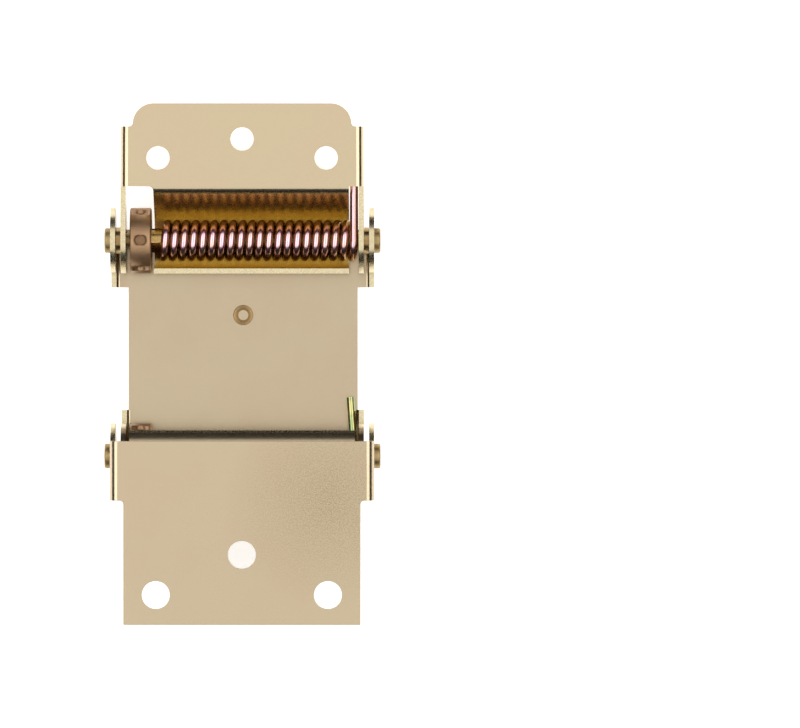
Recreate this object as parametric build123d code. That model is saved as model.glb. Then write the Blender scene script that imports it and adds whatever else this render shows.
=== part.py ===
from build123d import *
from math import acos, asin, atan2, cos, degrees, hypot, radians, sin
import os

# Double action spring hinge, lying flat with its three leaves opened out.
# Millimetres. The pins run along X, the door leaf is at +Y and the jamb leaf at -Y.
# Z = 0 is the tip of the bump on the back of the web, which the hinge rests on.

# Sheet metal of all three leaves
sheet = 1.6
bend = 1.0

# Web between the two pins
web_half_width = 36.5
web_top_above_pin = 3.65
bump_height = 1.8
bump_y = 15.6
bump_r = 3.4
bump_tip_r = 2.2
dimple_r = 3.2
dimple_floor_r = 1.6
dimple_wall = 1.4

# Pins
pin_span = 68.4
upper_pin_y = 39.2
pin_r = 2.5
rivet_r = 3.95
rivet_length = 2.0
rivet_round = 0.6
running_gap = 0.06

# Collars that wind the springs up, one on each pin
collar_r = 10.4
collar_width = 6.7
collar_room = 0.5
collar_from_ear = 1.3
collar_hole_r = 1.6
collar_hole_depth = 3.2
collar_holes = 6
collar_edge = 0.3
hub_gap = 0.2
hub_length = 5.0

# Springs
wire_r = 1.3
coil_r = 5.3
coil_turns = 20.5
coil_pitch = 2.995
coil_from_collar = 1.6
tang_depth = 2.6
tang_gap = 0.12
leg_gap = 0.08
elbow_swell = 0.03
upper_leg_length = 24.4
lower_leg_length = 18.4
lower_leg_lean = 1.2

# Ears, spacer washers and the discs round the pins
ear_r = 10.5
inner_ear_x = 36.9
washer_thickness = 1.5
washer_play = 0.1
washer_r = 4.2

# Door leaf
door_plate_front = 10.6
door_fold_above_pin = 15.8
door_notch_above_pin = 17.0
door_notch_r = 1.6
door_root_top = 36.0
door_top_above_pin = 43.3
door_half_width = 34.6
door_corner_r = 6.5
door_corner_margin = 0.2
door_step_r = 1.2
door_barrel_left = -28.1
door_barrel_right = 33.8
door_lip = 3.0
door_fold_r = 2.6
door_hole_r = 3.7
door_hole_x = 26.6
door_hole_above_pin = 26.0
door_middle_hole_above_pin = 32.0
door_sink_r = 4.7

# Rolled edge of the web round the lower spring
roll_bottom = 10.9
roll_front_gap = 0.3
roll_front_rise = 1.0
roll_top_above_pin = 7.65
roll_half_width = 35.7
roll_right = 35.4
collar_notch_gap = 0.2
notch_corner_r = 1.5

# Ears of the web
upper_root_bottom = -14.8
upper_tab_front = -4.5
lower_root_top = 14.6
lower_tab_front = -5.0
root_overlap = 0.1

# Jamb leaf
jamb_gap = 0.4
jamb_top_above_pin = 4.8
jamb_root_bottom = -14.0
jamb_tab_back = 4.5
jamb_half_width = 37.5
jamb_end_below_pin = 53.3
jamb_hole_r = 4.4
jamb_hole_x = 27.2
jamb_hole_below_pin = 43.8
jamb_middle_hole_below_pin = 31.1
jamb_sink_r = 5.1

# Places that follow from the sizes above
lower_pin_y = upper_pin_y - pin_span
web_back = bump_height
web_front = web_back + sheet
pin_to_web = collar_r + collar_room
pin_z = web_front + pin_to_web
web_middle = -pin_to_web - sheet / 2
outer_ear_x = inner_ear_x + sheet + washer_thickness + 2 * washer_play
rivet_x = outer_ear_x + sheet
collar_left = -inner_ear_x + collar_from_ear
collar_right = collar_left + collar_width
coil_left = collar_right + coil_from_collar + wire_r
coil_right = coil_left + coil_turns * coil_pitch
hub_r = coil_r - wire_r - hub_gap
door_middle = door_plate_front - sheet / 2
door_barrel_r = ear_r - sheet / 2
roll_r = roll_bottom - sheet / 2
roll_front = collar_r + roll_front_gap + sheet / 2
jamb_back = pin_to_web + sheet + jamb_gap
jamb_middle = jamb_back + sheet / 2
bend_outside = bend + sheet


def at_pin(pin_y):
    """The place of a pin's axis, for shapes drawn about it."""
    return Location((0, pin_y, pin_z))


def side_plate(outline, left, right):
    """A flat outline drawn as (y, z) about a pin, given its thickness from left to right along X."""
    return extrude(Plane.YZ.offset(left) * outline, amount=right - left)


def bent_strip(path, left, right):
    """Sheet metal whose middle line is a path drawn as (y, z) about a pin."""
    return side_plate(trace(path, sheet), left, right)


def folded_roots(outside, plate_z, direction, bottom, top):
    """The plate and the bends of two ears that are folded towards direction, 1 front or -1 back."""
    x = outside - sheet / 2
    reach = plate_z + direction * (bend + sheet / 2 + root_overlap)
    path = FilletPolyline(
        (-x, reach), (-x, plate_z), (x, plate_z), (x, reach), radius=bend + sheet / 2
    )
    return extrude(Plane.XZ.offset(-top) * trace(path, sheet), amount=top - bottom)


def ear_pair(outline, inside, hole_r):
    """Two flat ears at equal distances left and right, bored for the pin."""
    ear = side_plate(outline - Circle(hole_r), inside, inside + sheet)
    return ear + mirror(ear, Plane.YZ)


def plate(left, right, bottom, top, middle_z):
    """A flat piece of sheet parallel to the web."""
    box = Box(right - left, top - bottom, sheet)
    return Pos((left + right) / 2, (bottom + top) / 2, middle_z) * box


def cutter(left, right, bottom, top, low, high):
    """A block that cuts away what lies between these limits, about a pin."""
    box = Box(right - left, top - bottom, high - low)
    return Pos((left + right) / 2, (bottom + top) / 2, (low + high) / 2) * box


def sunk_hole(x, y, back_z, hole_r, sink_r):
    """A screw hole whose countersink opens on the back of a leaf."""
    depth = sink_r - hole_r
    hole = Pos(x, y, back_z) * Cylinder(hole_r, 4 * sheet)
    sink = Pos(x, y, back_z + depth / 2) * Cone(sink_r, hole_r, depth)
    return hole + sink


def tangent_angle(y, z, radius):
    """The angle at which a line from (y, z) touches the back of a circle about the pin, in degrees."""
    return degrees(atan2(z, y) - acos(radius / hypot(y, z)))


def on_circle(radius, angle):
    """A point on a circle about the pin, as (y, z)."""
    return (radius * cos(radians(angle)), radius * sin(radians(angle)))


def door_plate():
    """The flat of the door leaf: narrow at its rounded top, and wide where the ears fold back."""
    narrow_top = door_top_above_pin - door_root_top
    wide_bottom = door_root_top - sheet
    top = plate(-door_half_width, door_half_width, wide_bottom, door_top_above_pin, door_middle)
    corners = top.edges().filter_by(Axis.Z).group_by(Axis.Y)[-1]
    top = fillet(corners, min(door_corner_r, narrow_top - door_corner_margin))
    step = ear_step(door_half_width, door_root_top, door_middle)
    roots = folded_roots(
        inner_ear_x + sheet, door_middle, -1, door_notch_above_pin, door_root_top
    )
    return top + step + roots


def ear_step(half_width, root_y, middle_z, upward=1):
    """The two small fillets where a leaf widens to its ears."""
    corner = Rectangle(door_step_r, door_step_r, align=(Align.MIN, Align.MIN))
    corner -= Pos(door_step_r, door_step_r) * Circle(door_step_r)
    corner = corner if upward > 0 else mirror(corner, Plane.XZ)
    block = extrude(Pos(half_width, root_y, middle_z - sheet / 2) * corner, amount=sheet)
    return block + mirror(block, Plane.YZ)


def door_barrel():
    """The door leaf's lower edge: it folds back, meets the barrel's circle and wraps under the spring."""
    fold = (door_fold_above_pin, door_middle)
    touch = tangent_angle(*fold, door_barrel_r)
    start = (door_fold_above_pin + 2 * door_fold_r, door_middle)
    slope = FilletPolyline(start, fold, on_circle(door_barrel_r, touch), radius=door_fold_r)
    wrap = CenterArc((0, 0), door_barrel_r, touch, -180 - touch)
    lip = Line((-door_barrel_r, 0), (-door_barrel_r, door_lip))
    path = Curve() + [slope, wrap, lip]
    barrel = bent_strip(path, door_barrel_left - door_notch_r, door_barrel_right)
    deep = 2 * ear_r
    notch = cutter(-deep * 2, door_barrel_left, -deep, door_notch_above_pin, -deep, deep)
    corner = notch.edges().filter_by(Axis.Z).group_by(Axis.X)[-1].sort_by(Axis.Y)[-1]
    return barrel - fillet(corner, door_notch_r)


def door_ear_outline():
    """The ear beside the barrel: a disc round the pin with a straight rim up to the leaf."""
    fold_z = door_plate_front - bend_outside
    touch = tangent_angle(door_root_top, fold_z, ear_r)
    rim = Polyline(
        (0, 0),
        (0, ear_r),
        (door_notch_above_pin, ear_r),
        (door_notch_above_pin, fold_z),
        (door_root_top, fold_z),
        on_circle(ear_r, touch),
        close=True,
    )
    return make_face(rim) + Circle(ear_r)


def door_leaf():
    """The leaf that is screwed to the face of the door."""
    # The barrel's own flat replaces the plate where the fold begins, so no ledge is left there
    flat_left = door_barrel_left - door_notch_r
    flat_top = door_fold_above_pin + door_fold_r
    window = cutter(flat_left, door_barrel_right, 0, flat_top, 0, 2 * door_plate_front)
    leaf = door_plate() - window + door_barrel()
    leaf += ear_pair(door_ear_outline(), inner_ear_x, pin_r + running_gap)
    back = door_plate_front - sheet
    for side in (-1, 1):
        leaf -= sunk_hole(
            side * door_hole_x, door_hole_above_pin, back, door_hole_r, door_sink_r
        )
    leaf -= sunk_hole(0, door_middle_hole_above_pin, back, door_hole_r, door_sink_r)
    return at_pin(upper_pin_y) * leaf


def upper_web_ears():
    """The outer ears at the web's top, about the upper pin, with the plate that joins them."""
    tab = Pos((upper_root_bottom + web_top_above_pin) / 2, 0) * Rectangle(
        web_top_above_pin - upper_root_bottom, 2 * pin_to_web
    )
    fold_z = -pin_to_web - sheet + bend_outside
    kept = Pos(0, (fold_z + upper_tab_front) / 2) * Rectangle(
        4 * ear_r, upper_tab_front - fold_z
    )
    outline = Circle(ear_r) + (tab & kept)
    ears = ear_pair(outline, outer_ear_x, pin_r)
    roots = folded_roots(
        outer_ear_x + sheet, web_middle, 1, upper_root_bottom, web_top_above_pin
    )
    return ears + roots


def lower_web_ears():
    """The inner ears at the web's lower end, about the lower pin."""
    fold_z = -pin_to_web - sheet + bend_outside
    tab = Pos(lower_root_top / 2, (fold_z + lower_tab_front) / 2) * Rectangle(
        lower_root_top, lower_tab_front - fold_z
    )
    ears = ear_pair(Circle(ear_r) + tab, inner_ear_x, pin_r + running_gap)
    roots = folded_roots(inner_ear_x + sheet, web_middle, 1, 0, lower_root_top)
    return ears + roots


def web_roll():
    """The web's lower edge, rolled forward under the lower spring and up in front of it."""
    back_centre = web_middle + roll_r
    front_centre = roll_front - roll_r
    rise = roll_front_rise
    curl = degrees(asin((roll_top_above_pin - rise) / roll_r))
    path = Curve() + [
        Line((sheet, web_middle), (0, web_middle)),
        CenterArc((0, back_centre), roll_r, -90, -90),
        Line((-roll_r, back_centre), (-roll_r, front_centre)),
        CenterArc((0, front_centre), roll_r, 180, -90),
        Line((0, roll_front), (rise, roll_front)),
        CenterArc((rise, front_centre), roll_r, 90, -curl),
    ]
    roll = bent_strip(path, -roll_half_width, roll_half_width)
    deep = 2 * roll_bottom
    notch_right = collar_right + collar_notch_gap
    notch = cutter(-2 * roll_half_width, notch_right, -deep, 0, -deep, deep)
    notch = fillet(notch.edges().filter_by(Axis.Z).sort_by(Axis.X)[-2:], notch_corner_r)
    trim = cutter(roll_right, 2 * roll_half_width, -deep, 0, -deep, deep)
    return roll - notch - trim


def web_dimple():
    """The pressed bump on the web's back and the dimple on its front, as (bump, dimple)."""
    bump = Pos(0, bump_y, bump_height / 2) * Cone(bump_tip_r, bump_r, bump_height)
    depth = web_front - dimple_wall
    dimple = Pos(0, bump_y, web_front - depth / 2) * Cone(dimple_floor_r, dimple_r, depth)
    return bump, dimple


def centre_web():
    """The middle leaf, which carries both springs' barrels and ears on its plate."""
    web = plate(
        -web_half_width,
        web_half_width,
        lower_pin_y,
        upper_pin_y + web_top_above_pin,
        web_back + sheet / 2,
    )
    web += at_pin(upper_pin_y) * upper_web_ears()
    web += at_pin(lower_pin_y) * (lower_web_ears() + web_roll())
    bump, dimple = web_dimple()
    return web + bump - dimple


def jamb_ear_outline():
    """The ear of the jamb leaf: a disc round the pin with a square tab up to the leaf."""
    fold_z = jamb_back + sheet - bend_outside
    tab = Pos(
        (jamb_root_bottom + jamb_top_above_pin) / 2, (jamb_tab_back + fold_z) / 2
    ) * Rectangle(jamb_top_above_pin - jamb_root_bottom, fold_z - jamb_tab_back)
    return Circle(ear_r) + tab


def jamb_leaf():
    """The leaf that is screwed to the door frame."""
    leaf = plate(
        -jamb_half_width, jamb_half_width, -jamb_end_below_pin, 0, jamb_middle
    )
    leaf += folded_roots(
        outer_ear_x + sheet, jamb_middle, -1, jamb_root_bottom, jamb_top_above_pin
    )
    leaf += ear_step(jamb_half_width, jamb_root_bottom, jamb_middle, upward=-1)
    leaf += ear_pair(jamb_ear_outline(), outer_ear_x, pin_r)
    for side in (-1, 1):
        leaf -= sunk_hole(
            side * jamb_hole_x, -jamb_hole_below_pin, jamb_back, jamb_hole_r, jamb_sink_r
        )
    leaf -= sunk_hole(0, -jamb_middle_hole_below_pin, jamb_back, jamb_hole_r, jamb_sink_r)
    return at_pin(lower_pin_y) * leaf


def axle(pin_y):
    """A pin with both ends riveted over the outer ears."""
    rod = Cylinder(pin_r, 2 * rivet_x)
    head = Cylinder(rivet_r, rivet_length, align=(Align.CENTER, Align.CENTER, Align.MIN))
    head = fillet(head.edges().sort_by(Axis.Z)[-1], rivet_round)
    head = Pos(0, 0, rivet_x) * head
    pin = rod + head + mirror(head, Plane.XY)
    return at_pin(pin_y) * Rot(0, 90, 0) * pin


def washer(pin_y, side):
    """A spacer on the pin, between the inner and the outer ear."""
    middle = inner_ear_x + sheet + washer_play + washer_thickness / 2
    bore = Cylinder(pin_r + running_gap, 2 * washer_thickness)
    ring = Cylinder(washer_r, washer_thickness) - bore
    return at_pin(pin_y) * Pos(side * middle, 0, 0) * Rot(0, 90, 0) * ring


def collar(pin_y, tang_angle):
    """The winding collar: radial holes for a rod, a hub inside the coil and a hole for the spring's tang."""
    ring = Cylinder(collar_r, collar_width, align=(Align.CENTER, Align.CENTER, Align.MIN))
    ring = chamfer(ring.edges().filter_by(GeomType.CIRCLE), collar_edge)
    hub = Cylinder(hub_r, collar_width + hub_length, align=(Align.CENTER, Align.CENTER, Align.MIN))
    body = ring + hub - Cylinder(pin_r + running_gap, 4 * collar_width)
    hole = Pos(collar_r, 0, collar_width / 2) * Rot(0, 90, 0)
    hole *= Cylinder(collar_hole_r, 2 * collar_hole_depth)
    for step in range(collar_holes):
        body -= Rot(0, 0, 360 * step / collar_holes) * hole
    tang = Pos(coil_r, 0, collar_width) * Cylinder(wire_r + tang_gap, 2 * (tang_depth + tang_gap))
    body -= tang
    # A quarter turn puts the drawing's X on the front of the pin, and its Z along the pin
    turned = Plane((collar_left, pin_y, pin_z), x_dir=(0, *on_circle(1, tang_angle)), z_dir=(1, 0, 0))
    return turned.location * body


def wire(start, end):
    """A straight stretch of spring wire between two points about the pin."""
    along = Vector(end) - Vector(start)
    section = Plane(origin=start, z_dir=along) * Circle(wire_r)
    return extrude(section, amount=along.length, dir=along)


def spring(pin_y, leg_side, leg_length, leg_seat, lean):
    """A torsion spring: a coil, a tang in the collar at its left and a straight leg at its right.

    leg_side is 1 where the leg leaves in front of the pin and -1 where it leaves behind. The
    coil has a half turn more than whole turns, so its tang is on the other side.
    """
    coil_path = Helix(coil_pitch, coil_turns * coil_pitch, coil_r, lefthand=leg_side > 0)
    start_face = Plane(coil_path @ 0, z_dir=coil_path % 0) * Circle(wire_r)
    coil = sweep(start_face, path=coil_path, is_frenet=True)
    place = Plane((coil_left, 0, 0), x_dir=(0, 0, -leg_side), z_dir=(1, 0, 0)).location
    coil = place * coil
    inner_end = (coil_left, 0, -leg_side * coil_r)
    tang_end = (collar_right - tang_depth, 0, -leg_side * coil_r)
    outer_end = (coil_right, 0, leg_side * coil_r)
    leg_end = (coil_right - lean, leg_length, leg_side * leg_seat)
    body = coil
    for elbow, tip in ((inner_end, tang_end), (outer_end, leg_end)):
        body += Pos(*elbow) * Sphere(wire_r + elbow_swell)
        body += wire(elbow, tip)
    return at_pin(pin_y) * body


upper_leg_seat = door_plate_front - sheet - wire_r - leg_gap
lower_leg_seat = pin_to_web - wire_r - leg_gap

parts = {
    "door_leaf": door_leaf(),
    "centre_web": centre_web(),
    "jamb_leaf": jamb_leaf(),
    "upper_axle": axle(upper_pin_y),
    "lower_axle": axle(lower_pin_y),
    "upper_left_washer": washer(upper_pin_y, -1),
    "upper_right_washer": washer(upper_pin_y, 1),
    "lower_left_washer": washer(lower_pin_y, -1),
    "lower_right_washer": washer(lower_pin_y, 1),
    "upper_collar": collar(upper_pin_y, -90),
    "lower_collar": collar(lower_pin_y, 90),
    "upper_spring": spring(upper_pin_y, 1, upper_leg_length, upper_leg_seat, 0),
    "lower_spring": spring(lower_pin_y, -1, lower_leg_length, lower_leg_seat, lower_leg_lean),
}

os.makedirs("parts", exist_ok=True)
for name, solid in parts.items():
    export_step(solid, f"parts/{name}.step")
    print(name, solid.is_valid, round(solid.volume, 1), "cubic mm")
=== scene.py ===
# %% [markdown]
# # A double action spring hinge in plated sheet
# The hinge is three folded leaves joined by two pins, with a coil spring and a drilled
# winding collar on each pin. Every piece is already at its real size and place in the frame,
# so this lesson is about the surfaces: brass plating that mirrors the studio round it,
# sheared edges, spring wire with a coloured coat, and a turned bronze collar.

import math

import bmesh
import bpy
from mathutils import Matrix, Vector


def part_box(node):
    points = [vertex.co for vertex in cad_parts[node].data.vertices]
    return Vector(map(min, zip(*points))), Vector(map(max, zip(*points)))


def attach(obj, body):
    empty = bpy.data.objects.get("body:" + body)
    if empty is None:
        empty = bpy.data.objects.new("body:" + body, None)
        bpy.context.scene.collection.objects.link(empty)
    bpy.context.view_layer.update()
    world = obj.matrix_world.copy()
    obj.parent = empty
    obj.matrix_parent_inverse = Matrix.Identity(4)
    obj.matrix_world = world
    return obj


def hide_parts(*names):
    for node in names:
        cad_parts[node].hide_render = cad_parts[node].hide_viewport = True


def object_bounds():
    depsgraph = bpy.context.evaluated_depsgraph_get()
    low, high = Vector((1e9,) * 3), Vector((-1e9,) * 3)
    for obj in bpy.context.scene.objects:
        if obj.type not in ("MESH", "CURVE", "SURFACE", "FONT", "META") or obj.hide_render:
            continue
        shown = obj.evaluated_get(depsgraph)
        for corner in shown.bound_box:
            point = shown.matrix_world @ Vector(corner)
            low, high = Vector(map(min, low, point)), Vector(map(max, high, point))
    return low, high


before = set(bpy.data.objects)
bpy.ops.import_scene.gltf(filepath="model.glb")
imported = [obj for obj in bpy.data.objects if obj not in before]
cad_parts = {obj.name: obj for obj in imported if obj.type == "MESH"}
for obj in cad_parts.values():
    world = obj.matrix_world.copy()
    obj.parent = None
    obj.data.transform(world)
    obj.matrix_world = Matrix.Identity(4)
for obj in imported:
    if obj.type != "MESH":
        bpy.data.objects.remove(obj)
cad_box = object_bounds()
MM = 0.001
print("frame pieces:", sorted(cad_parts))

# %% [markdown]
# ## Where the pins are
# The two pins lie along X. Their boxes in the frame give their height and their place along Y,
# and the tests and patterns that go by the distance from a pin start from these two points.

# %% Find the two pins
def middle(node):
    """The middle of a frame piece's box."""
    low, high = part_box(node)
    return (low + high) / 2


PIN = {"upper": middle("upper_axle"), "lower": middle("lower_axle")}
print("pins at", {name: [round(c, 4) for c in place] for name, place in PIN.items()})

# %% [markdown]
# ## The camera
# The picture was taken from straight above with a long lens, and the hinge lay in the left
# half of it. A lens of 425 mm at 3 m shows 254 mm across the picture, so the hinge comes out
# at the same size and place. The camera stands 50 mm to the right of the hinge's middle.

# %% Place the camera
CAMERA_HEIGHT = 3.0
CAMERA_RIGHT = 49.97 * MM
VIEW_WIDTH = 254 * MM
SENSOR = 36.0

camera_data = bpy.data.cameras.new("camera")
camera_data.sensor_width = SENSOR
camera_data.lens = SENSOR * CAMERA_HEIGHT / VIEW_WIDTH
camera = bpy.data.objects.new("camera", camera_data)
bpy.context.scene.collection.objects.link(camera)
camera.location = (CAMERA_RIGHT, 0, CAMERA_HEIGHT + PIN["upper"].z)
bpy.context.scene.camera = camera
bpy.context.scene.view_settings.view_transform = "Standard"
print("lens", round(camera_data.lens, 1), "mm")

# %% [markdown]
# ## Helpers for node trees
# A material here is a short chain: object coordinates, a shared group that makes the pattern,
# and the Principled shader. These helpers add a node with its settings and join two sockets.

# %% Node helpers
def add_node(tree, kind, **settings):
    """A new node of that kind, with its properties and its input values set by name."""
    node = tree.nodes.new(kind)
    inputs = settings.pop("inputs", {})
    for key, value in settings.items():
        setattr(node, key, value)
    for key, value in inputs.items():
        node.inputs[key].default_value = value
    return node


def join(tree, source, output, target, target_input):
    """A link from one node's output to another's input."""
    tree.links.new(source.outputs[output], target.inputs[target_input])


# %% [markdown]
# ## Helpers for groups
# A pattern that several finishes use is a node group: it is made once and placed in each
# material with other values. Each group here puts out a Color that is mixed from two. A Mix
# node has a set of sockets for each kind of data, all with the same names, so those for
# colours are found by their numbers.

# %% Group helpers
FLOAT, COLOUR, VECTOR = "NodeSocketFloat", "NodeSocketColor", "NodeSocketVector"
MIX_FIRST, MIX_SECOND, MIX_RESULT = 6, 7, 2


def new_group(name, inputs, outputs):
    """An empty shader group with named sockets, and its input and output nodes."""
    tree = bpy.data.node_groups.new(name, "ShaderNodeTree")
    for socket, kind, value in inputs:
        made = tree.interface.new_socket(socket, in_out="INPUT", socket_type=kind)
        if value is not None:
            made.default_value = value
    for socket, kind in outputs:
        tree.interface.new_socket(socket, in_out="OUTPUT", socket_type=kind)
    return tree, tree.nodes.new("NodeGroupInput"), tree.nodes.new("NodeGroupOutput")


def put_out_mix(tree, start, first, second, amount, end):
    """Two of a group's input colours, mixed by a math node's result, become its Color."""
    colours = add_node(tree, "ShaderNodeMix", data_type="RGBA")
    join(tree, amount, 0, colours, "Factor")
    join(tree, start, first, colours, MIX_FIRST)
    join(tree, start, second, colours, MIX_SECOND)
    join(tree, colours, MIX_RESULT, end, "Color")


# %% [markdown]
# ## Plated sheet that isn't quite even
# Brass plating over rolled steel is smooth, but it has faint broad patches where the coat is
# pinker, and a fine grain that softens the mirror. Two noises make both: a large one mixes two
# colours, and a small one moves the roughness and the bump height a little.

# %% Group: patches and grain
def make_patch_group():
    """Colour, roughness and height of a plated face, from two noises in object space."""
    tree, start, end = new_group(
        "plating_patches",
        [
            ("Vector", VECTOR, None),
            ("Coat", COLOUR, (0.6, 0.5, 0.33, 1)),
            ("Patch", COLOUR, (0.6, 0.46, 0.33, 1)),
            ("Patch Scale", FLOAT, 40.0),
            ("Patch Amount", FLOAT, 0.5),
            ("Grain Scale", FLOAT, 2500.0),
            ("Smooth", FLOAT, 0.2),
            ("Rough", FLOAT, 0.3),
        ],
        [("Color", COLOUR), ("Roughness", FLOAT), ("Height", FLOAT)],
    )
    patches = add_node(tree, "ShaderNodeTexNoise", inputs={"Detail": 3.0, "Roughness": 0.55})
    grain = add_node(tree, "ShaderNodeTexNoise", inputs={"Detail": 4.0, "Roughness": 0.6})
    band = add_node(tree, "ShaderNodeMapRange", inputs={"From Min": 0.45, "From Max": 0.62})
    amount = add_node(tree, "ShaderNodeMath", operation="MULTIPLY")
    gloss = add_node(tree, "ShaderNodeMapRange", inputs={"From Min": 0.3, "From Max": 0.7})
    for noise, scale in ((patches, "Patch Scale"), (grain, "Grain Scale")):
        join(tree, start, "Vector", noise, "Vector")
        join(tree, start, scale, noise, "Scale")
    join(tree, patches, "Fac", band, "Value")
    join(tree, band, "Result", amount, 0)
    join(tree, start, "Patch Amount", amount, 1)
    put_out_mix(tree, start, "Coat", "Patch", amount, end)
    join(tree, grain, "Fac", gloss, "Value")
    join(tree, start, "Smooth", gloss, "To Min")
    join(tree, start, "Rough", gloss, "To Max")
    join(tree, gloss, "Result", end, "Roughness")
    join(tree, grain, "Fac", end, "Height")
    return tree


PATCHES = make_patch_group()
print(PATCHES.name, "has", len(PATCHES.nodes), "nodes")

# %% [markdown]
# ## Rings of a turned piece
# The collar was turned, so fine rings run round it. A noise that is read along X alone gives
# them, because it is the same all round the pin. A second noise, read in all directions, gives
# the blotches of the brown coat.

# %% Group: turned rings
RING_SHARE = 0.35


def make_ring_group():
    """Colour, roughness and height of a turned face with fine rings that change along X."""
    tree, start, end = new_group(
        "turned_rings",
        [
            ("Vector", VECTOR, None),
            ("Light", COLOUR, (0.4, 0.25, 0.13, 1)),
            ("Dark", COLOUR, (0.2, 0.12, 0.06, 1)),
            ("Rings", FLOAT, 3000.0),
        ],
        [("Color", COLOUR), ("Height", FLOAT), ("Roughness", FLOAT)],
    )
    parts = add_node(tree, "ShaderNodeSeparateXYZ")
    along = add_node(tree, "ShaderNodeCombineXYZ")
    rings = add_node(tree, "ShaderNodeTexNoise", inputs={"Detail": 2.0})
    cloud = add_node(tree, "ShaderNodeTexNoise", inputs={"Scale": 260.0, "Detail": 4.0})
    mixed = add_node(
        tree, "ShaderNodeMath", operation="MULTIPLY_ADD", inputs={1: RING_SHARE}
    )
    rough = add_node(tree, "ShaderNodeMapRange", inputs={"To Min": 0.38, "To Max": 0.54})
    join(tree, start, "Vector", parts, "Vector")
    join(tree, parts, "X", along, "X")
    join(tree, along, "Vector", rings, "Vector")
    join(tree, start, "Rings", rings, "Scale")
    join(tree, start, "Vector", cloud, "Vector")
    join(tree, rings, "Fac", mixed, 0)
    join(tree, cloud, "Fac", mixed, 2)
    put_out_mix(tree, start, "Light", "Dark", mixed, end)
    join(tree, rings, "Fac", end, "Height")
    join(tree, cloud, "Fac", rough, "Value")
    join(tree, rough, "Result", end, "Roughness")
    return tree


RINGS = make_ring_group()
print(RINGS.name, "has", len(RINGS.nodes), "nodes")

# %% [markdown]
# ## A tarnished corner
# The jamb leaf has a cloud of dark specks near its right edge. The specks are a fine noise, and
# the cloud fades out with the distance from its middle, which is measured from the lower pin.

# %% Group: cloud of specks
SPECK_MIDDLE = PIN["lower"] + Vector((28.0, -13.8, 13.7)) * MM
SPECK_REACH = 34 * MM


def make_speck_group():
    """A colour with dark specks, which are thickest at one place and fade out round it."""
    tree, start, end = new_group(
        "speck_cloud",
        [
            ("Vector", VECTOR, None),
            ("Color", COLOUR, (0.6, 0.5, 0.33, 1)),
            ("Speck", COLOUR, (0.24, 0.18, 0.08, 1)),
            ("Middle", VECTOR, SPECK_MIDDLE),
            ("Reach", FLOAT, SPECK_REACH),
            ("Amount", FLOAT, 0.7),
        ],
        [("Color", COLOUR)],
    )
    away = add_node(tree, "ShaderNodeVectorMath", operation="DISTANCE")
    cloud = add_node(tree, "ShaderNodeMapRange", inputs={"From Max": 0.0})
    noise = add_node(tree, "ShaderNodeTexNoise", inputs={"Scale": 2600.0, "Detail": 3.0})
    specks = add_node(tree, "ShaderNodeMapRange", inputs={"From Min": 0.36, "From Max": 0.72})
    both = add_node(tree, "ShaderNodeMath", operation="MULTIPLY")
    amount = add_node(tree, "ShaderNodeMath", operation="MULTIPLY")
    join(tree, start, "Vector", away, 0)
    join(tree, start, "Middle", away, 1)
    join(tree, away, "Value", cloud, "Value")
    join(tree, start, "Reach", cloud, "From Min")
    join(tree, start, "Vector", noise, "Vector")
    join(tree, noise, "Fac", specks, "Value")
    join(tree, cloud, "Result", both, 0)
    join(tree, specks, "Result", both, 1)
    join(tree, both, 0, amount, 0)
    join(tree, start, "Amount", amount, 1)
    put_out_mix(tree, start, "Color", "Speck", amount, end)
    return tree


SPECKS = make_speck_group()
print(SPECKS.name, "round", [round(c, 4) for c in SPECK_MIDDLE])

# %% [markdown]
# ## One function for every metal
# Metal shows mostly what it mirrors, so its colour is in Base Color with Metallic at 1, and its
# grain is in Roughness and a weak Bump. Every finish of the hinge is made by this one function
# from a group and that group's values. The wire's colour changes with the angle that it is seen
# at: it is pale in the middle, a painted highlight, and copper and gold at its sides, partly its
# thin coloured coat and partly painted reflection of the brass round it.

# %% Material maker
def coat_and_painted_highlight_by_angle(tree, pattern, coat_and_highlight_tints):
    """A Mix node that multiplies the pattern's colour by tints that follow the angle of view:
    a painted highlight where the surface faces the eye, and coat colour with painted reflection
    towards its edges.
    """
    angle = add_node(tree, "ShaderNodeLayerWeight")
    ramp = add_node(tree, "ShaderNodeValToRGB")
    stops = ramp.color_ramp.elements
    # New stops go in halfway, between the first and the last, and all are placed afterwards
    while len(stops) < len(coat_and_highlight_tints):
        stops.new(0.5)
    for stop, (facing, colour) in zip(stops, coat_and_highlight_tints):
        stop.position = facing
        stop.color = colour
    coat_and_highlight_colour = add_node(
        tree, "ShaderNodeMix", data_type="RGBA", blend_type="MULTIPLY", inputs={"Factor": 1.0}
    )
    join(tree, angle, "Facing", ramp, "Fac")
    join(tree, pattern, "Color", coat_and_highlight_colour, MIX_FIRST)
    join(tree, ramp, "Color", coat_and_highlight_colour, MIX_SECOND)
    return coat_and_highlight_colour


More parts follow.
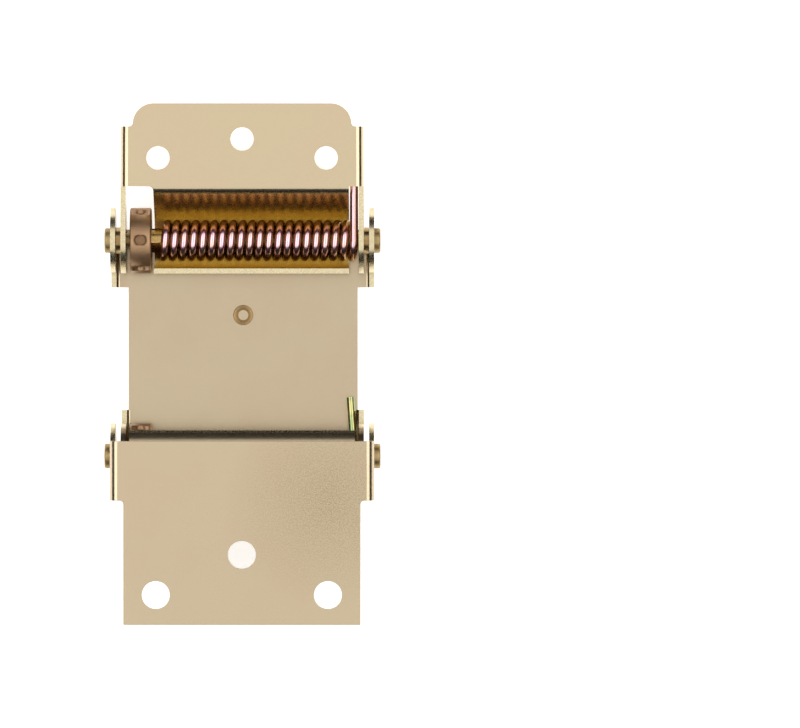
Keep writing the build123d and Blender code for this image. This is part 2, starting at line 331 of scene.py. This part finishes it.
def metal(name, group, values, bump_strength, bump_depth, coat_and_highlight_tints=(), specks=False):
    """A metal whose colour, roughness and bump height come from a shared group.

    The tints are a row of (facing, colour) that the colour is multiplied by, from 0 where the
    surface faces the eye to 1 where it is seen edge on. A pale colour near 0 is a painted
    highlight, and the colours towards 1 are partly coat and partly painted reflection. specks
    adds the cloud of specks.
    """
    material = bpy.data.materials.new(name)
    material.use_nodes = True
    tree = material.node_tree
    shader = tree.nodes["Principled BSDF"]
    shader.inputs["Metallic"].default_value = 1.0
    place = add_node(tree, "ShaderNodeTexCoord")
    pattern = add_node(tree, "ShaderNodeGroup", node_tree=group, inputs=values)
    bump = add_node(
        tree, "ShaderNodeBump", inputs={"Strength": bump_strength, "Distance": bump_depth}
    )
    join(tree, place, "Object", pattern, "Vector")
    if coat_and_highlight_tints:
        join(tree, coat_and_painted_highlight_by_angle(tree, pattern, coat_and_highlight_tints), MIX_RESULT, shader, "Base Color")
    elif specks:
        speckled = add_node(tree, "ShaderNodeGroup", node_tree=SPECKS)
        join(tree, place, "Object", speckled, "Vector")
        join(tree, pattern, "Color", speckled, "Color")
        join(tree, speckled, "Color", shader, "Base Color")
    else:
        join(tree, pattern, "Color", shader, "Base Color")
    join(tree, pattern, "Roughness", shader, "Roughness")
    join(tree, pattern, "Height", bump, "Height")
    join(tree, bump, "Normal", shader, "Normal")
    print("finish", name)
    return material


# %% [markdown]
# ## The plating of the leaves
# The three leaves differ a little, as if they came from different batches of strip: the door
# leaf is the palest and the web a little greyer. Broad patches with a low amount keep each leaf
# even at first sight, and a low roughness keeps the mirror in the bends clear.

# %% Finish the leaves' faces
DOOR_BRASS = metal(
    "door_leaf_brass",
    PATCHES,
    {
        "Coat": (0.640, 0.520, 0.338, 1),
        "Patch": (0.650, 0.498, 0.340, 1),
        "Patch Scale": 34.0,
        "Patch Amount": 0.35,
        "Smooth": 0.16,
        "Rough": 0.24,
    },
    bump_strength=0.05,
    bump_depth=0.02 * MM,
)
WEB_BRASS = metal(
    "web_brass",
    PATCHES,
    {
        "Coat": (0.540, 0.438, 0.294, 1),
        "Patch": (0.520, 0.385, 0.255, 1),
        "Patch Scale": 46.0,
        "Patch Amount": 0.3,
        "Smooth": 0.17,
        "Rough": 0.27,
    },
    bump_strength=0.06,
    bump_depth=0.02 * MM,
)
JAMB_BRASS = metal(
    "jamb_leaf_brass",
    PATCHES,
    {
        "Coat": (0.578, 0.470, 0.313, 1),
        "Patch": (0.590, 0.445, 0.302, 1),
        "Patch Scale": 40.0,
        "Patch Amount": 0.3,
        "Smooth": 0.16,
        "Rough": 0.26,
    },
    bump_strength=0.06,
    bump_depth=0.02 * MM,
    specks=True,
)

# %% [markdown]
# ## Edges, rivets and washers
# These faces were sheared, hammered or punched, so they are speckled and rougher than the
# leaves. They use the same group with small patches and a stronger bump, in a warmer brass.

# %% Finish the rough brass
SHEARED_EDGE = metal(
    "sheared_edge",
    PATCHES,
    {
        "Coat": (0.70, 0.60, 0.38, 1),
        "Patch": (0.50, 0.40, 0.24, 1),
        "Patch Scale": 700.0,
        "Patch Amount": 0.25,
        "Grain Scale": 1800.0,
        "Smooth": 0.18,
        "Rough": 0.34,
    },
    bump_strength=0.08,
    bump_depth=0.03 * MM,
)
RIVET_BRASS = metal(
    "rivet_brass",
    PATCHES,
    {
        "Coat": (0.44, 0.33, 0.16, 1),
        "Patch": (0.36, 0.25, 0.11, 1),
        "Patch Scale": 420.0,
        "Patch Amount": 0.9,
        "Grain Scale": 1500.0,
        "Smooth": 0.38,
        "Rough": 0.52,
    },
    bump_strength=0.3,
    bump_depth=0.05 * MM,
)
WASHER_BRASS = metal(
    "washer_brass",
    PATCHES,
    {
        "Coat": (0.52, 0.38, 0.18, 1),
        "Patch": (0.42, 0.27, 0.12, 1),
        "Patch Scale": 500.0,
        "Patch Amount": 0.8,
        "Smooth": 0.24,
        "Rough": 0.4,
    },
    bump_strength=0.2,
    bump_depth=0.04 * MM,
)

# %% [markdown]
# ## Collar, hub and barrel
# The collar is a matte brown with its turned rings, its hub is a yellow brass, and the inside
# of the door leaf's barrel is duller and more golden than the outside.

# %% Finish the collars and the barrel
COLLAR_BRONZE = metal(
    "collar_bronze",
    RINGS,
    {"Light": (0.46, 0.29, 0.16, 1), "Dark": (0.30, 0.18, 0.10, 1), "Rings": 3200.0},
    bump_strength=0.35,
    bump_depth=0.05 * MM,
)
HUB_BRASS = metal(
    "hub_brass",
    PATCHES,
    {
        "Coat": (0.52, 0.36, 0.14, 1),
        "Patch": (0.40, 0.24, 0.09, 1),
        "Patch Scale": 400.0,
        "Patch Amount": 0.7,
        "Smooth": 0.2,
        "Rough": 0.36,
    },
    bump_strength=0.2,
    bump_depth=0.04 * MM,
)
BARREL_BRASS = metal(
    "barrel_brass",
    PATCHES,
    {
        "Coat": (0.76, 0.60, 0.25, 1),
        "Patch": (0.68, 0.50, 0.19, 1),
        "Patch Scale": 120.0,
        "Patch Amount": 0.5,
        "Smooth": 0.26,
        "Rough": 0.30,
    },
    bump_strength=0.1,
    bump_depth=0.02 * MM,
)

# %% [markdown]
# ## Spring wire
# The wire has a thin coloured coat on zinc. On the upper spring it is pale where it faces the
# eye, which is a painted highlight, and goes through pink and copper to gold at the sides of
# each turn, which is partly the coat's own colour and partly painted reflection of the brass
# round it.
# The lower spring is yellow with green patches, which the same group gives with its Patch Amount
# at 1.

# %% Finish the springs
UPPER_WIRE = metal(
    "upper_spring_wire",
    PATCHES,
    {
        "Coat": (0.66, 0.55, 0.58, 1),
        "Patch": (0.64, 0.55, 0.44, 1),
        "Patch Scale": 320.0,
        "Patch Amount": 0.8,
        "Smooth": 0.16,
        "Rough": 0.26,
    },
    bump_strength=0.1,
    bump_depth=0.02 * MM,
    # The pale tint facing the eye is a painted highlight; the pink, copper and gold at the sides
    # are coat colour and painted reflection.
    coat_and_highlight_tints=[
        (0.02, (1.0, 0.92, 0.94, 1)),
        (0.14, (0.86, 0.46, 0.54, 1)),
        (0.36, (0.66, 0.40, 0.20, 1)),
        (0.75, (0.62, 0.48, 0.14, 1)),
    ],
)
LOWER_WIRE = metal(
    "lower_spring_wire",
    PATCHES,
    {
        "Coat": (0.50, 0.45, 0.19, 1),
        "Patch": (0.26, 0.33, 0.15, 1),
        "Patch Scale": 300.0,
        "Patch Amount": 1.0,
        "Smooth": 0.10,
        "Rough": 0.2,
    },
    bump_strength=0.1,
    bump_depth=0.02 * MM,
)

# %% [markdown]
# ## Where the shear cut the sheet
# A leaf is one solid, so its cut edges have to be told from its plated faces by their shape: a
# cut face is as narrow as the sheet is thick, and most of its outline is sharp. A strip of a
# bend can be as narrow, but it runs smoothly into its neighbours.

# %% Test: cut faces
SHEET = 1.6 * MM
CUT_FACE_WIDTH = 1.1 * SHEET
SHARP_ANGLE = math.radians(38)
SHARP_SHARE = 0.3


def is_sharp(edge):
    """True on an edge where two faces meet at a clear angle."""
    return len(edge.link_faces) == 2 and edge.calc_face_angle(0) > SHARP_ANGLE


def is_cut_face(face):
    """True on a face left by the shear: no wider than the sheet, with sharp long sides."""
    lengths = [edge.calc_length() for edge in face.edges]
    sharp = sum(edge.calc_length() for edge in face.edges if is_sharp(edge))
    width = face.calc_area() / max(lengths)
    return width < CUT_FACE_WIDTH and sharp > SHARP_SHARE * sum(lengths)


print("cut faces are narrower than", round(CUT_FACE_WIDTH / MM, 2), "mm")

# %% [markdown]
# ## Faces with another coat
# The inside of the door leaf's barrel, the collars' hubs and the ends of the springs have other
# colours than the rest of their piece. They are found by their place: how far they are from a
# pin, or how far left they lie.

# %% Tests: barrel, hub and tang
TROUGH_REACH = 15.2 * MM
MOST_ALONG_PIN = 0.1
HUB_REACH = 4.5 * MM
TANG_LENGTH = 4.6 * MM
TANG_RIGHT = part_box("upper_spring")[0].x + TANG_LENGTH


def is_trough_face(face):
    """True on the inside of the door leaf's barrel: low beside the upper pin, and facing it."""
    to_pin = PIN["upper"] - face.calc_center_median()
    to_pin.x = 0
    low = all(vert.co.y - PIN["upper"].y < TROUGH_REACH for vert in face.verts)
    across = abs(face.normal.x) < MOST_ALONG_PIN
    return low and across and to_pin.dot(face.normal) > 0


def is_hub_face(face):
    """True on a face of a collar's hub: all its corners lie close round one of the pins."""
    return any(
        all(
            math.hypot(vert.co.y - place.y, vert.co.z - place.z) < HUB_REACH
            for vert in face.verts
        )
        for place in PIN.values()
    )


def is_tang_face(face):
    """True on the end of a spring that goes into its collar."""
    return face.verts[0].co.x < TANG_RIGHT


print("the springs' ends reach to x =", round(TANG_RIGHT, 4))

# %% [markdown]
# ## From loose triangles to a finished piece
# A frame piece is a set of loose triangles, which can only be shaded flat. A copy of it is
# merged, its flat faces are joined into one face each, and the edges of the sheet get a narrow
# bevel, as the plating rounds them. A weighted normal keeps the flats flat and the bends round.

# %% Dress a frame piece
MERGE = 0.002 * MM
FLAT_ANGLE = math.radians(0.6)


def sort_faces(piece, picks):
    """Give each face the number of the first test in picks that is true on it, from 1 up."""
    for face in piece.faces:
        face.smooth = True
        for index, picked in enumerate(picks, start=1):
            if picked(face):
                face.material_index = index
                break


def round_edges(piece, width):
    """A narrow bevel on every sharp edge."""
    bmesh.ops.bevel(
        piece,
        geom=[edge for edge in piece.edges if is_sharp(edge)],
        offset=width,
        segments=2,
        profile=0.5,
        affect="EDGES",
        material=-1,
        clamp_overlap=True,
    )


def dress(node, body, materials, picks=(), bevel=0.0):
    """A smooth copy of a frame piece in its finish, which stands for that piece.

    Each test in picks gives the faces that it is true on the next of the materials.
    """
    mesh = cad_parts[node].data.copy()
    mesh.materials.clear()
    for material in materials:
        mesh.materials.append(material)
    piece = bmesh.new()
    piece.from_mesh(mesh)
    bmesh.ops.remove_doubles(piece, verts=piece.verts, dist=MERGE)
    bmesh.ops.dissolve_limit(
        piece, angle_limit=FLAT_ANGLE, verts=piece.verts, edges=piece.edges
    )
    sort_faces(piece, picks)
    if bevel:
        round_edges(piece, bevel)
    piece.to_mesh(mesh)
    piece.free()
    mesh.set_sharp_from_angle(angle=SHARP_ANGLE)
    dressed = bpy.data.objects.new(node + "_dressed", mesh)
    bpy.context.scene.collection.objects.link(dressed)
    if bevel:
        weighted = dressed.modifiers.new("flat_faces_first", "WEIGHTED_NORMAL")
        weighted.keep_sharp = True
    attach(dressed, body)
    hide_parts(node)
    print(node, len(mesh.polygons), "faces")
    return dressed


# %% [markdown]
# ## The three leaves
# Each leaf is one folded sheet, so it has two finishes: its plated faces and its cut edges.
# The inside of the door leaf's barrel has a third, which is duller and more golden.

# %% Dress the leaves
EDGE_ROUND = 0.14 * MM
LEAVES = {
    "door_leaf": ("door_leaf", DOOR_BRASS),
    "centre_web": ("web", WEB_BRASS),
    "jamb_leaf": ("jamb_leaf", JAMB_BRASS),
}
for node, (body, brass) in LEAVES.items():
    finishes, picks = [brass, SHEARED_EDGE], [is_cut_face]
    if node == "door_leaf":
        finishes.append(BARREL_BRASS)
        picks.append(is_trough_face)
    dress(node, body, finishes, picks, EDGE_ROUND)

# %% [markdown]
# ## Pins, washers, collars and springs
# The small parts are round, so they need no bevel, and only the collars and the springs have a
# second finish. The springs keep the true helix of the frame. The lower pin rides on the jamb
# leaf, in whose ears it is riveted, and the upper one on the web.

# %% Dress the small parts
PIN_BODIES = {"upper": "web", "lower": "jamb_leaf"}
SPRING_BODIES = {"upper": ("door_leaf", UPPER_WIRE), "lower": ("web", LOWER_WIRE)}
for level, body in PIN_BODIES.items():
    dress(level + "_axle", body, [RIVET_BRASS])
    for side in ("left", "right"):
        washer = dress(f"{level}_{side}_washer", body, [WASHER_BRASS])
    finishes = [COLLAR_BRONZE, HUB_BRASS]
    collar = dress(level + "_collar", level + "_collar", finishes, [is_hub_face])
    spring_body, wire = SPRING_BODIES[level]
    coil = dress(level + "_spring", spring_body, [wire, HUB_BRASS], [is_tang_face])

# %% [markdown]
# ## The studio
# Polished bends are drawn by what they mirror: a bright ceiling, a dark room round it, and a
# white table below. A plain white world is the ceiling and the main light. At a strength of 1 a
# colour comes out about as it is written.

# %% White world
WORLD_STRENGTH = 1.0
world = bpy.data.worlds.new("white_room")
bpy.context.scene.world = world
world.use_nodes = True
background = world.node_tree.nodes["Background"]
background.inputs["Color"].default_value = (1, 1, 1, 1)
background.inputs["Strength"].default_value = WORLD_STRENGTH
print("world strength", WORLD_STRENGTH)

# %% [markdown]
# ## Things of the studio
# What stands round the hinge isn't part of it. One helper makes each such thing from a bmesh.

# %% Stage helper
def stage_mesh(name, piece, material):
    """An object of the studio, made from a bmesh."""
    mesh = bpy.data.meshes.new(name)
    piece.to_mesh(mesh)
    piece.free()
    mesh.materials.append(material)
    thing = bpy.data.objects.new(name, mesh)
    bpy.context.scene.collection.objects.link(thing)
    print("stage:", name)
    return thing


# %% [markdown]
# ## The table
# The hinge lies on a white table that is wide enough to have no edge in sight. It takes light
# and shadow as matte paint does. The glow that makes it white is only there for the camera and
# for what mirrors the table, so a matte thing gets no light from it.

# %% White table
FLOOR_RADIUS = 12.0
FLOOR_GAP = 0.05 * MM
FLOOR_GLOW = 0.72


def floor_material():
    """A matte white with a glow where the camera, a mirror or glass sees it."""
    material = bpy.data.materials.new("white_floor")
    material.use_nodes = True
    tree = material.node_tree
    tree.nodes.remove(tree.nodes["Principled BSDF"])
    output = tree.nodes["Material Output"]
    matte = add_node(tree, "ShaderNodeBsdfDiffuse", inputs={"Color": (0.8, 0.8, 0.8, 1)})
    glow = add_node(tree, "ShaderNodeEmission", inputs={"Color": (1, 1, 1, 1)})
    both = add_node(tree, "ShaderNodeAddShader")
    path = add_node(tree, "ShaderNodeLightPath")
    seen = add_node(tree, "ShaderNodeMath", operation="MAXIMUM")
    seen_through = add_node(tree, "ShaderNodeMath", operation="MAXIMUM")
    lift = add_node(tree, "ShaderNodeMath", operation="MULTIPLY", inputs={1: FLOOR_GLOW})
    join(tree, path, "Is Camera Ray", seen, 0)
    join(tree, path, "Is Glossy Ray", seen, 1)
    join(tree, seen, 0, seen_through, 0)
    join(tree, path, "Is Transmission Ray", seen_through, 1)
    join(tree, seen_through, 0, lift, 0)
    join(tree, lift, 0, glow, "Strength")
    join(tree, matte, 0, both, 0)
    join(tree, glow, 0, both, 1)
    join(tree, both, 0, output, "Surface")
    return material


floor = bmesh.new()
bmesh.ops.create_circle(floor, cap_ends=True, segments=64, radius=FLOOR_RADIUS)
bmesh.ops.translate(floor, verts=floor.verts, vec=(0, 0, cad_box[0][2] - FLOOR_GAP))
stage_mesh("floor", floor, floor_material())

# %% [markdown]
# ## The dark room
# The dark bands in the bends are the mirrored walls of a dim room. Half a dark sphere makes
# them, with a window overhead for the white ceiling, and the camera doesn't see it. The window
# reaches a little further from straight up towards the door leaf than towards the jamb leaf.

# %% Dark screen
SCREEN_RADIUS = 3.2
SCREEN_STEP = 3
OPEN_SIDEWAYS = 54
OPEN_DOWN = -39
OPEN_UP = 45


def screen_material():
    """The dark cloth of the screen."""
    material = bpy.data.materials.new("dark_screen")
    material.use_nodes = True
    shader = material.node_tree.nodes["Principled BSDF"]
    shader.inputs["Base Color"].default_value = (0.05, 0.05, 0.05, 1)
    shader.inputs["Roughness"].default_value = 0.9
    return material


def is_open(face):
    """True on a face of the screen's sphere that is below the table or in the open window."""
    centre = face.calc_center_median().normalized()
    sideways = math.degrees(math.asin(centre.x))
    upward = math.degrees(math.atan2(centre.y, centre.z))
    window = abs(sideways) < OPEN_SIDEWAYS and OPEN_DOWN < upward < OPEN_UP
    return centre.z < 0 or window


# The sphere's poles are turned to the left and right, so that its faces follow the window
screen = bmesh.new()
bmesh.ops.create_uvsphere(
    screen,
    u_segments=360 // SCREEN_STEP,
    v_segments=180 // SCREEN_STEP,
    radius=SCREEN_RADIUS,
    matrix=Matrix.Rotation(math.radians(90), 4, "Y"),
)
opened = [face for face in screen.faces if is_open(face)]
print("screen: cut away", len(opened), "of", len(screen.faces), "faces")
bmesh.ops.delete(screen, geom=opened, context="FACES")
dark_screen = stage_mesh("dark_screen", screen, screen_material())
dark_screen.visible_camera = False

# %% [markdown]
# ## Two lamps
# A white bar shows along the bends at the leaves' sides, between the plate's own colour and the
# dark band. It is a wide lamp on either side of the camera, brighter than the ceiling. The
# lamps' edges are given as angles from straight up: across, and down and up in the picture.

# %% Side lamps
LAMP_HEIGHT = 1.6
LAMP_FROM, LAMP_TO = 13, 47
LAMP_DOWN, LAMP_UP = -35, 40
LAMP_STRENGTH = 2.3


def lamp_material():
    """The lamps' white front."""
    material = bpy.data.materials.new("lamp_white")
    material.use_nodes = True
    tree = material.node_tree
    tree.nodes.remove(tree.nodes["Principled BSDF"])
    glow = add_node(tree, "ShaderNodeEmission", inputs={"Strength": LAMP_STRENGTH})
    join(tree, glow, 0, tree.nodes["Material Output"], "Surface")
    return material


def lamp_reach(degrees_off):
    """How far from the middle a lamp's edge stands, for an angle from straight up."""
    return LAMP_HEIGHT * math.tan(math.radians(degrees_off))


LAMP_CORNERS = (
    (LAMP_FROM, LAMP_DOWN),
    (LAMP_TO, LAMP_DOWN),
    (LAMP_TO, LAMP_UP),
    (LAMP_FROM, LAMP_UP),
)
lamp_white = lamp_material()
for side, name in ((-1, "left_lamp"), (1, "right_lamp")):
    lamp = bmesh.new()
    corners = [
        lamp.verts.new((side * lamp_reach(across), lamp_reach(along), LAMP_HEIGHT))
        for across, along in LAMP_CORNERS
    ]
    lamp.faces.new(corners)
    stage_mesh(name, lamp, lamp_white).visible_camera = False
